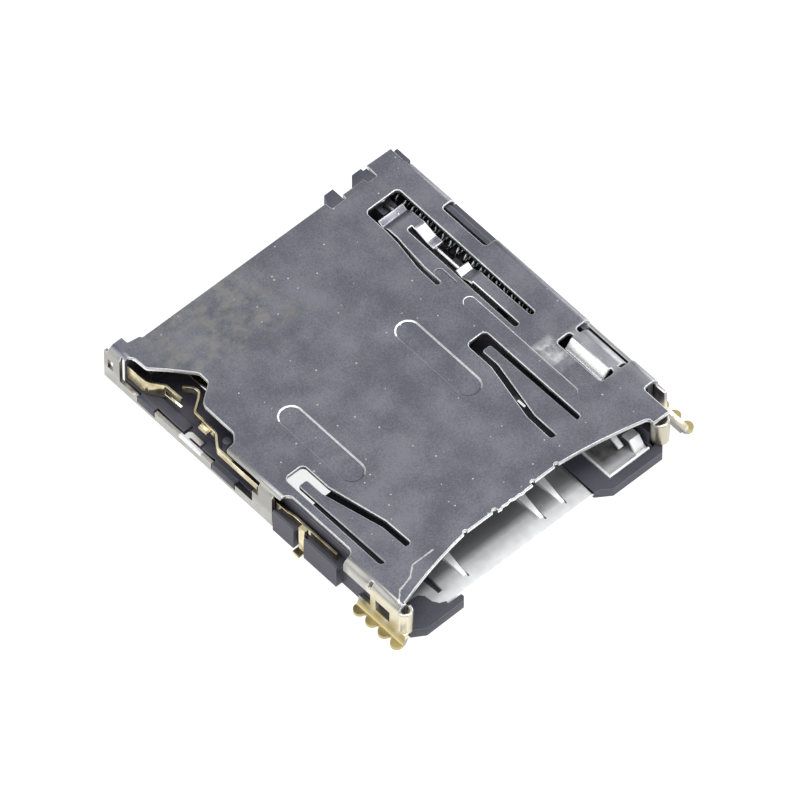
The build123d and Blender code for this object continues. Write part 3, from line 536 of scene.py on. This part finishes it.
# painted half highlight: the rounded rims of the punched edges and the rib slopes that face left,
# lighter than the sheet
COVER_HALF_HIGHLIGHT = Finish(
    "cover_painted_half_highlight", (0.44, 0.44, 0.45), (0.60, 0.60, 0.60), metallic=1.0,
    roughness=(0.30, 0.42), grain_scale=12.0, bump=0.2,
)
# painted highlight: near-white slopes of the tongues and the catch, on the same sheet
SLOPE_HIGHLIGHT = Finish(
    "painted_slope_highlight", (0.90, 0.90, 0.90), (0.97, 0.97, 0.96), metallic=0.5,
    roughness=(0.22, 0.32), grain_scale=6.0, bump=0.1,
)
PLASTIC = Finish(
    "base_moulding", (0.040, 0.039, 0.055), (0.060, 0.058, 0.078), metallic=0.0,
    roughness=(0.45, 0.6), grain_scale=16.0, fleck_scale=2.2, fleck_size=0.03,
    fleck_and_line_colour=(0.12, 0.12, 0.14), bump=0.3,
)
# painted highlight: the rounded edges of the moulding, lighter than the moulding
PLASTIC_EDGE = Finish(
    "base_moulding_edge", (0.07, 0.07, 0.09), (0.10, 0.10, 0.125), metallic=0.0,
    roughness=(0.36, 0.5), grain_scale=12.0, bump=0.3,
)
# the entry plate, with painted shade under the cover and in the tray, and painted shadow lines
# beside the ramps
PLATE = Finish(
    "entry_plate", (0.84, 0.84, 0.85), (0.94, 0.94, 0.945), metallic=0.6,
    roughness=(0.30, 0.40), grain_scale=3.0, fleck_and_line_colour=SHADOW_LINE_GREY, bump=0.1,
    zones=PLATE_SHADE, scratches_and_shadow_lines=RAMP_SHADOW_LINES,
)
# painted light: a lighter, less metallic copy of the entry plate's finish, without its painted
# shade, so that the ramps look lit
PLATE_RAMP = Finish(
    "entry_ramp", (0.90, 0.90, 0.91), (0.97, 0.97, 0.975), metallic=0.35,
    roughness=(0.28, 0.36), grain_scale=3.0, bump=0.1,
)
GOLD = Finish(
    "contact_gold", (0.33, 0.265, 0.12), (0.76, 0.69, 0.49), metallic=1.0,
    roughness=(0.12, 0.26), grain_scale=2.2, bump=0.3, bump_depth=0.01,
)
STEEL = Finish(
    "spring_steel", (0.5, 0.5, 0.5), (0.66, 0.66, 0.66), metallic=1.0,
    roughness=(0.22, 0.36), grain_scale=8.0,
)
DARK_STEEL = Finish(
    "dark_wire", (0.34, 0.34, 0.36), (0.5, 0.5, 0.52), metallic=1.0,
    roughness=(0.16, 0.24), grain_scale=8.0,
)
BLACK = Finish(
    "slider_moulding", (0.012, 0.012, 0.014), (0.022, 0.022, 0.026), metallic=0.0,
    roughness=(0.4, 0.55), grain_scale=14.0,
)
FLOOR = Finish(
    "pale_floor", (0.34, 0.34, 0.34), (0.36, 0.36, 0.36), metallic=0.0,
    roughness=(0.8, 0.9), grain_scale=0.3, cloud_scale=0.05, bump=0.0,
)


# Meshes


def merged_copy(node: str) -> bmesh.types.BMesh:
    """A closed copy of a CAD node in millimetres, with its flat faces joined.

    Args:
        node: Name of the node.

    Returns:
        The mesh, to be finished by the caller.
    """
    bm = bmesh.new()
    bm.from_mesh(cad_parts[node].data)
    bmesh.ops.scale(bm, vec=(1 / MM, 1 / MM, 1 / MM), verts=bm.verts)
    bmesh.ops.remove_doubles(bm, verts=bm.verts, dist=SAME_SPOT)
    bmesh.ops.recalc_face_normals(bm, faces=bm.faces)
    bmesh.ops.dissolve_limit(
        bm, angle_limit=math.radians(FLAT_ANGLE), verts=bm.verts, edges=bm.edges,
        delimit={"NORMAL"},
    )
    bmesh.ops.dissolve_degenerate(bm, dist=TINY, edges=bm.edges)
    return bm


def bevel(
    bm: bmesh.types.BMesh, edges: list[bmesh.types.BMEdge], width: float, segments: int = 1,
    even: bool = True,
) -> set[bmesh.types.BMFace]:
    """Cuts a band of faces along some edges.

    Args:
        bm: The mesh.
        edges: The edges.
        width: Width of the band on each side of an edge.
        segments: Faces across the band.
        even: Keeps the width even, and lets no corner slide along a flat edge.

    Returns:
        The faces of the bands.
    """
    done = bmesh.ops.bevel(
        bm, geom=edges, offset=width, offset_type="OFFSET", segments=segments, profile=0.5,
        affect="EDGES", material=-1, clamp_overlap=False, loop_slide=not even,
    )
    return {face for face in done["faces"] if face.is_valid}


def soften(
    bm: bmesh.types.BMesh, width: float, sharp: float = SHARP, segments: int = 2,
    above: float = -math.inf, shallow: float = 0.0, upper: bool = False, even: bool = False,
) -> set[bmesh.types.BMFace]:
    """Rounds the sharp edges of a mesh.

    Args:
        bm: The mesh.
        width: Width of the rounding.
        sharp: Least angle between two faces whose edge is rounded.
        segments: Faces across each rounding.
        above: Only edges above this height are rounded.
        shallow: Edges of walls lower than this stay as they are.
        upper: Only edges of faces that look up are rounded.
        even: Keeps the width even, and lets no corner slide along a flat edge.

    Returns:
        The faces of the roundings.
    """
    low = {f for f in bm.faces if is_wall(f) and height_of(f) < shallow}
    edges = [
        e for e in bm.edges
        if len(e.link_faces) == 2 and e.calc_face_angle(0.0) > math.radians(sharp)
        and not low & set(e.link_faces)
        and all(v.co.z > above for v in e.verts)
        and (not upper or max(f.normal.z for f in e.link_faces) > UPRIGHT)
    ]
    return bevel(bm, edges, width, segments, even)


def keep_inside(bm: bmesh.types.BMesh, node: str) -> None:
    """Holds every corner of a finished mesh inside the box of its CAD node.

    Args:
        bm: The mesh.
        node: Name of the node.
    """
    low, high = (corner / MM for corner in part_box(node))
    for vert in bm.verts:
        held = Vector(min(max(vert.co[i], low[i]), high[i]) for i in range(3))
        if (held - vert.co).length > OVERSHOOT:
            LOG.warning("%s: corner %s lies outside", node, tuple(round(c, 3) for c in vert.co))
        vert.co = held


def inside(spot: Vector, box: Box) -> bool:
    """Whether a point lies in a box."""
    return all(low < value < high for low, value, high in zip(box[0], spot, box[1]))


def is_wall(face: bmesh.types.BMFace) -> bool:
    """Whether a face stands upright."""
    return abs(face.normal.z) < UPRIGHT


def foot_of(face: bmesh.types.BMFace) -> float:
    """The height of a face's lowest corner."""
    return min(v.co.z for v in face.verts)


def head_of(face: bmesh.types.BMFace) -> float:
    """The height of a face's highest corner."""
    return max(v.co.z for v in face.verts)


def height_of(face: bmesh.types.BMFace) -> float:
    """How far a face reaches up and down."""
    return head_of(face) - foot_of(face)


def add_object(name: str, data: bpy.types.ID) -> bpy.types.Object:
    """Puts a new object with the given data in the scene."""
    made = bpy.data.objects.new(name, data)
    bpy.context.scene.collection.objects.link(made)
    return made


def finish_piece(
    bm: bmesh.types.BMesh, name: str, body: Body | None,
    finishes: Iterable[Finish], smooth: float = 35.0,
) -> bpy.types.Object:
    """Turns a mesh in millimetres into a dressed object on its body.

    Args:
        bm: The mesh, which is freed.
        name: Name of the piece.
        body: The body that it rides on, or None, which leaves it on no body.
        finishes: One finish for each material index.
        smooth: Largest angle that is shaded smooth.

    Returns:
        The object.
    """
    bmesh.ops.scale(bm, vec=(MM, MM, MM), verts=bm.verts)
    mesh = bpy.data.meshes.new(name)
    bm.to_mesh(mesh)
    bm.free()
    mesh.shade_smooth()
    mesh.set_sharp_from_angle(angle=math.radians(smooth))
    for finish in finishes:
        mesh.materials.append(bpy.data.materials.get(finish.name) or finish.material())
    made = add_object(name, mesh)
    even = made.modifiers.new("flat_faces", "WEIGHTED_NORMAL")
    even.keep_sharp = True
    even.weight = LARGE_FACES
    if body is not None:
        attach(made, body.value)
    LOG.info("%s: %d faces", name, len(mesh.polygons))
    return made


@dataclass
class Cover:
    """The stamped and folded cover.

    Attributes:
        top: Height of the cover's face over the board.
        sheet: Thickness of the sheet.
        cut_height: Highest wall that is the cut edge of the sheet, in thicknesses.
        cut_depth: Lowest foot of a bright cut edge below the face, in thicknesses.
        rim: Width of the rounding along the punched edges.
        rim_depth: How far below the face edges are still rounded.
        rim_angle: Least angle of a rounded edge.
        rib: Walls lower than this belong to a pressed rib.
        shallow_rib: Walls lower than this belong to a shallow rib.
        rib_reach: Heads of the rib walls lie less than this below the face.
        rib_slope: Width of a rib's sloped wall over its depth.
        tight_rib: Box of the rib that has an opening close beside it.
        tight_slope: Width of that rib's sloped wall over its depth.
        crown: Width of the second cut over the width of the slope.
        slope_rise: Rise of the normals of the sloped walls.
        level_rise: Least rise of the normal of the cover's face.
        front_lean: Slopes whose normal has a lower y, which face the front, get the painted
            highlight.
        left_lean: Other slopes whose normal has a lower x, which face left, get the painted half
            highlight.
        tongue_rise: Rise of the normals of the slopes that are painted near-white as highlights.
        painted_bright_slopes: Boxes of the slopes painted near-white as highlights.
    """

    top: float = 1.9
    sheet: float = 0.15
    cut_height: float = 1.15
    # cut_depth: Lowest foot of a cut edge with the painted highlight, below the face, in
    # thicknesses.
    cut_depth: float = 3.0
    rim: float = 0.042
    rim_depth: float = 0.7
    rim_angle: float = 50.0
    rib: float = 0.09
    shallow_rib: float = 0.03
    rib_reach: float = 0.01
    rib_slope: float = 0.95
    tight_rib: Box = ((3.9, 1.5, 1.8), (4.6, 2.8, 2.0))
    tight_slope: float = 0.4
    crown: float = 0.85
    slope_rise: tuple[float, float] = (0.5, 0.9)
    level_rise: float = 0.99
    front_lean: float = -0.12
    left_lean: float = -0.2
    tongue_rise: tuple[float, float] = (0.2, 0.97)
    # boxes of the slopes that get the painted near-white highlight
    painted_bright_slopes: tuple[Box, ...] = (
        ((4.6, 3.7, 1.2), (5.2, 4.6, 1.9)),
        ((4.3, 1.84, 1.2), (5.2, 2.3, 1.9)),
        ((5.4, -5.0, 1.2), (5.95, -2.8, 1.9)),
    )

    def build(self) -> bpy.types.Object:
        """Rounds the punched edges, and paints highlights on them, on the cut edges and on some
        slopes.

        Returns:
            The cover.
        """
        bm = merged_copy("shell")
        # painted highlights: the chosen slopes near-white, the cut edges bright
        for face in bm.faces:
            if self.is_painted_bright_slope(face):
                face.material_index = CoverFace.POLISHED
            elif self.is_cut(face):
                face.material_index = CoverFace.CUT_EDGE
        self.round_ribs(bm)
        rounded = soften(
            bm, self.rim, self.rim_angle, above=self.top - self.rim_depth, shallow=self.rib,
            upper=True, even=True,
        )
        # painted half highlight on the rounded rims
        for face in rounded:
            face.material_index = CoverFace.RIM
        keep_inside(bm, "shell")
        # the sheet, then its painted highlight, painted half highlight and painted near-white slope
        # highlight
        finishes = (COVER, COVER_HIGHLIGHT, COVER_HALF_HIGHLIGHT, SLOPE_HIGHLIGHT)
        cover = finish_piece(bm, "cover", Body.BASE, finishes)
        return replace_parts(cover, "shell")

    def is_cut(self, face: bmesh.types.BMFace) -> bool:
        """Whether a face is the cut edge of the sheet near the top."""
        across = self.rib < height_of(face) < self.sheet * self.cut_height
        return is_wall(face) and across and foot_of(face) > self.top - self.cut_depth * self.sheet

    def is_painted_bright_slope(self, face: bmesh.types.BMFace) -> bool:
        """Whether a face is a slope that is painted near-white as a highlight."""
        low, high = self.tongue_rise
        spot = face.calc_center_median()
        return low < face.normal.z < high and any(inside(spot, box) for box in self.painted_bright_slopes)

    def on_top(self, edge: bmesh.types.BMEdge) -> bool:
        """Whether an edge lies on the cover's face."""
        return all(v.co.z > self.top - ON_TOP for v in edge.verts)

    def round_ribs(self, bm: bmesh.types.BMesh) -> None:
        """Slopes the walls of the pressed ribs, so that they catch the light, and paints highlights
        on the slopes that face the front and the left.

        Args:
            bm: The cover.
        """
        walls = {
            f for f in bm.faces
            if is_wall(f) and height_of(f) < self.rib and head_of(f) > self.top - self.rib_reach
        }
        for low, high, tight in (
            (0.0, self.shallow_rib, False),
            (self.shallow_rib, self.rib, False),
            (self.shallow_rib, self.rib, True),
        ):
            rims = [
                e for e in bm.edges
                if any(f in walls and low < height_of(f) <= high for f in e.link_faces)
                and self.on_top(e) and all(inside(v.co, self.tight_rib) == tight for v in e.verts)
                and e.calc_face_angle(0.0) > math.radians(SHARP)
            ]
            if not rims:
                continue
            deep = min(height_of(f) for e in rims for f in e.link_faces if f in walls)
            slope = self.tight_slope if tight else self.rib_slope
            least, most = self.slope_rise
            slopes = {f for f in bevel(bm, rims, slope * deep) if least < f.normal.z < most}
            if not tight:
                crests = [
                    e for f in slopes for e in f.edges
                    if self.on_top(e) and any(o.normal.z > self.level_rise for o in e.link_faces)
                ]
                slopes |= bevel(bm, crests, self.crown * slope * deep)
                slopes = {f for f in slopes if f.is_valid}
            walls = {f for f in walls if f.is_valid}
            # painted highlights: rib slopes that face the front bright, those that face left half
            # bright
            for face in slopes:
                face.normal_update()
                if face.normal.y < self.front_lean:
                    face.material_index = CoverFace.CUT_EDGE
                elif face.normal.x < self.left_lean:
                    face.material_index = CoverFace.RIM


@dataclass
class Moulding:
    """The moulded base.

    Attributes:
        rim: Width of the rounding of its edges.
        bridge: Box of the web that closes the slit of the entry plate from below.
    """

    rim: float = 0.02
    bridge: Box = ((-4.72, -7.3, 0.0), (-4.28, -6.59, 0.115))

    def build(self) -> bpy.types.Object:
        """Rounds the edges of the moulding with a painted highlight, and closes it under the slit
        of the entry plate.

        Returns:
            The base.
        """
        bm = merged_copy("housing")
        # the rounded edges get the painted highlight
        for face in soften(bm, self.rim):
            face.material_index = SECOND
        low, high = self.bridge
        size = [b - a for a, b in zip(low, high)]
        centre = Vector(low).lerp(Vector(high), 0.5)
        place = Matrix.Translation(centre) @ Matrix.Diagonal((*size, 1.0))
        bmesh.ops.create_cube(bm, size=1.0, matrix=place)
        keep_inside(bm, "housing")
        finishes = (PLASTIC, PLASTIC_EDGE)
        base = finish_piece(bm, "moulded_base", Body.BASE, finishes)
        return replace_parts(base, "housing")


@dataclass
class SheetParts:
    """The small stamped parts: entry plate, contacts, switch and lock spring.

    Attributes:
        rim: Width of the bevel of their edges.
        flat: Largest angle that is shaded smooth on the entry plate.
        plate_top: Height of the entry plate's face.
        ramp_foot: Faces of a ramp start less than this below the plate's face.
        ramp_head: Faces of a ramp end more than this above it.
        fulcrum: The two points between which the switch leaf bends. Not used.
        parts: Node, name, body, slot and finish of each part.
    """

    rim: float = 0.012
    flat: float = 6.0
    plate_top: float = 0.27
    ramp_foot: float = 0.03
    ramp_head: float = 0.01
    fulcrum: tuple[Point, Point] = ((-6.685, -0.8, 0.9), (-6.685, 0.8, 0.9))
    parts: tuple[tuple[str, str, Body, Slot, Finish], ...] = (
        ("base_plate", "entry_plate", Body.BASE, Slot.PLATE, PLATE),
        ("detect_fixed", "switch_fixed", Body.BASE, Slot.DETECT, GOLD),
        ("detect_leaf", "switch_leaf", Body.LEAF, Slot.DETECT, GOLD),
        ("lock_spring", "card_lock", Body.SLIDER, Slot.LOCK, STEEL),
        *(
            (f"contact_{n}", f"card_contact_{n}", Body.BASE, Slot.CONTACTS, GOLD)
            for n in range(1, 9)
        ),
    )

    def build(self) -> list[bpy.types.Object]:
        """Rounds and dresses each part.

        Returns:
            The parts.
        """
        made = []
        for node, name, body, slot, finish in self.parts:
            bm = merged_copy(node)
            soften(bm, self.rim, segments=1)
            keep_inside(bm, node)
            if node == "base_plate":
                # the ramps get the lighter copy of the plate's finish that paints them lit
                self.mark_ramps(bm)
                piece = finish_piece(bm, name, body, (finish, PLATE_RAMP), self.flat)
            elif body is Body.LEAF:
                leaf = finish_piece(bm, name, None, (finish,))
                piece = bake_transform(leaf)
            else:
                piece = finish_piece(bm, name, body, (finish,))
            made.append(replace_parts(piece, node))
        return made

    def mark_ramps(self, bm: bmesh.types.BMesh) -> None:
        """Gives the ramps of the entry plate its second finish, a lighter copy that paints them
        lit.

        Args:
            bm: The entry plate.
        """
        for face in bm.faces:
            starts = foot_of(face) > self.plate_top - self.ramp_foot
            if starts and head_of(face) > self.plate_top + self.ramp_head:
                face.material_index = SECOND


@dataclass
class EjectSlide:
    """The slider with its heart groove.

    Attributes:
        rim: Width of the rounding of its edges.
    """

    rim: float = 0.02

    def build(self) -> bpy.types.Object:
        """Rounds and dresses the slider.

        Returns:
            The slider.
        """
        bm = merged_copy("slider")
        soften(bm, self.rim)
        keep_inside(bm, "slider")
        slide = finish_piece(bm, "eject_slide", Body.SLIDER, (BLACK,))
        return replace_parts(slide, "slider")


@dataclass
class ReturnSpring:
    """The coil spring beside the slider.

    Attributes:
        wire: Radius of the wire.
        turns: Number of coils.
        steps: Lengths of wire in one coil.
        sides: Faces round the wire.
        stroke: Travel of the slider, which shortens the spring. Not used.
    """

    wire: float = 0.06
    turns: int = 19
    steps: int = 28
    sides: int = 10
    stroke: float = 3.1

    def build(self) -> bpy.types.Object:
        """Winds the wire with a screw sweep.

        Returns:
            The spring.
        """
        low, high = (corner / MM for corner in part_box("coil_spring"))
        centre = (low + high) / 2
        mean = (high.x - low.x) / 2 - self.wire
        bm = bmesh.new()
        ring = bmesh.ops.create_circle(
            bm, cap_ends=False, radius=self.wire, segments=self.sides
        )["verts"]
        start = Matrix.Translation(Vector((centre.x + mean, low.y + self.wire, centre.z)))
        bmesh.ops.transform(bm, matrix=start, verts=ring)
        total = self.turns * self.steps
        bmesh.ops.spin(
            bm, geom=bm.edges[:], cent=(centre.x, low.y, centre.z), axis=(0.0, 1.0, 0.0),
            dvec=(0.0, (high.y - low.y - 2 * self.wire) / total, 0.0),
            angle=math.tau * self.turns, steps=total,
        )
        bmesh.ops.holes_fill(bm, edges=[e for e in bm.edges if e.is_boundary])
        bmesh.ops.recalc_face_normals(bm, faces=bm.faces)
        spring = finish_piece(
            bm, "return_spring", Body.BASE, (DARK_STEEL,), smooth=ROUND_SHADE
        )
        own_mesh(spring)
        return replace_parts(spring, "coil_spring")


@dataclass
class CamWire:
    """The bent pin that follows the heart groove."""

    def build(self) -> bpy.types.Object:
        """Dresses the pin.

        Returns:
            The pin.
        """
        bm = merged_copy("cam_pin")
        wire = finish_piece(bm, "cam_wire", Body.PIN, (STEEL,), smooth=ROUND_SHADE)
        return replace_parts(wire, "cam_pin")


# Studio


def direction(azimuth: float, elevation: float) -> Vector:
    """The unit vector from the socket towards a viewer.

    Args:
        azimuth: Degrees round the socket from the front, towards the right.
        elevation: Degrees above the board.

    Returns:
        The direction.
    """
    a, e = math.radians(azimuth), math.radians(elevation)
    return Vector((math.sin(a) * math.cos(e), -math.cos(a) * math.cos(e), math.sin(e)))


def looking_back(place: Vector, way: Vector) -> Matrix:
    """The matrix of a lamp or camera at a place, which looks against a direction."""
    return Matrix.Translation(place) @ way.to_track_quat("Z", "Y").to_matrix().to_4x4()


@dataclass
class Lamp:
    """A rectangular soft light that faces the socket, set by its direction and its brightness."""

    name: str
    azimuth: float
    elevation: float
    wide: float
    high: float
    glow: float
    distance: float = 0.4

    def build(self) -> bpy.types.Object:
        """Places the light.

        Returns:
            The light.
        """
        data = bpy.data.lights.new(self.name, "AREA")
        data.shape = "RECTANGLE"
        data.size, data.size_y = self.wide, self.high
        data.energy = self.glow * math.pi * self.wide * self.high
        lamp = add_object(self.name, data)
        way = direction(self.azimuth, self.elevation)
        lamp.matrix_world = looking_back(way * self.distance, way)
        return lamp


@dataclass
class Studio:
    """Pale floor, soft lights and the camera of the photograph, in metres.

    Attributes:
        azimuth: Direction of the camera round the socket.
        elevation: Its angle above the board.
        distance: Its distance from the target.
        target: The point in the middle of the picture, in millimetres.
        pixels_per_mm: Size of the socket in the picture.
        picture: Width of the picture in pixels.
        sensor: Width of the camera's sensor, in its own millimetres.
        clip: Nearest and furthest distance that the camera sees.
        floor_size: Half the width of the floor.
        floor_drop: How far the floor lies below the socket.
        floor_glow: Light that the floor gives off.
        room_colour: Colour of the light from all round.
        room_glow: Its strength.
        lamps: Name, azimuth, elevation, width, height and brightness of each light.
    """

    azimuth: float = -42.25
    elevation: float = 54.25
    distance: float = 0.6
    target: Point = (-0.421, -0.552, 1.402)
    pixels_per_mm: float = 27.66
    picture: int = 800
    sensor: float = 36.0
    clip: tuple[float, float] = (0.01, 10.0)
    floor_size: float = 0.6
    floor_drop: float = 0.00001
    floor_glow: float = 0.85
    room_colour: Colour = (0.95, 0.97, 1.0)
    room_glow: float = 0.5
    lamps: tuple[Lamp, ...] = (
        Lamp("overhead", 0.0, 89.0, 0.25, 0.25, 3.0),
        Lamp("rear_soft", 138.0, 54.0, 0.40, 0.40, 0.27),
        Lamp("left_soft", -124.0, 30.0, 0.36, 0.34, 1.6),
        Lamp("curl_light", 33.0, 44.0, 0.12, 0.10, 6.0),
        Lamp("tab_light", 67.0, 64.0, 0.12, 0.10, 7.0),
        Lamp("front_soft", 26.0, 20.0, 0.24, 0.16, 1.2),
        Lamp("camera_soft", -45.0, 30.0, 0.30, 0.20, 0.8),
        Lamp("right_soft", 92.0, 22.0, 0.36, 0.28, 2.0),
    )

    def build(self) -> None:
        """Sets out the floor, the lights, the world and the camera."""
        self.lay_floor()
        for lamp in self.lamps:
            lamp.build()
        world = bpy.data.worlds.new("soft_room")
        bpy.context.scene.world = world
        world.use_nodes = True
        sky = world.node_tree.nodes["Background"]
        sky.inputs["Color"].default_value = (*self.room_colour, 1.0)
        sky.inputs["Strength"].default_value = self.room_glow
        view = bpy.context.scene.view_settings
        view.view_transform = "Standard"
        view.look = "None"
        self.place_camera()

    def lay_floor(self) -> None:
        """Lays the floor, which gives off some light of its own."""
        bm = bmesh.new()
        bmesh.ops.create_grid(bm, x_segments=2, y_segments=2, size=self.floor_size)
        mesh = bpy.data.meshes.new("floor")
        bm.to_mesh(mesh)
        bm.free()
        floor = add_object("floor", mesh)
        floor.location.z = -self.floor_drop
        table = FLOOR.material()
        shader = table.node_tree.nodes["Principled BSDF"]
        shader.inputs["Emission Color"].default_value = (1.0, 1.0, 1.0, 1.0)
        shader.inputs["Emission Strength"].default_value = self.floor_glow
        mesh.materials.append(table)

    def place_camera(self) -> None:
        """Puts the camera where the photograph was taken."""
        lens = bpy.data.cameras.new("photo_view")
        lens.sensor_width = self.sensor
        lens.lens = self.pixels_per_mm / MM * self.distance * self.sensor / self.picture
        lens.clip_start, lens.clip_end = self.clip
        camera = add_object("photo_view", lens)
        way = direction(self.azimuth, self.elevation)
        camera.matrix_world = looking_back(Vector(self.target) * MM + way * self.distance, way)
        bpy.context.scene.camera = camera


def main() -> None:
    """Builds the socket and the studio, and reports each piece."""
    logging.basicConfig(level=logging.INFO, format="%(name)s %(message)s")
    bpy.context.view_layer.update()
    Groups.build()
    Cover().build()
    Moulding().build()
    SheetParts().build()
    EjectSlide().build()
    ReturnSpring().build()
    CamWire().build()
    Studio().build()


if __name__ == "__main__":
    main()
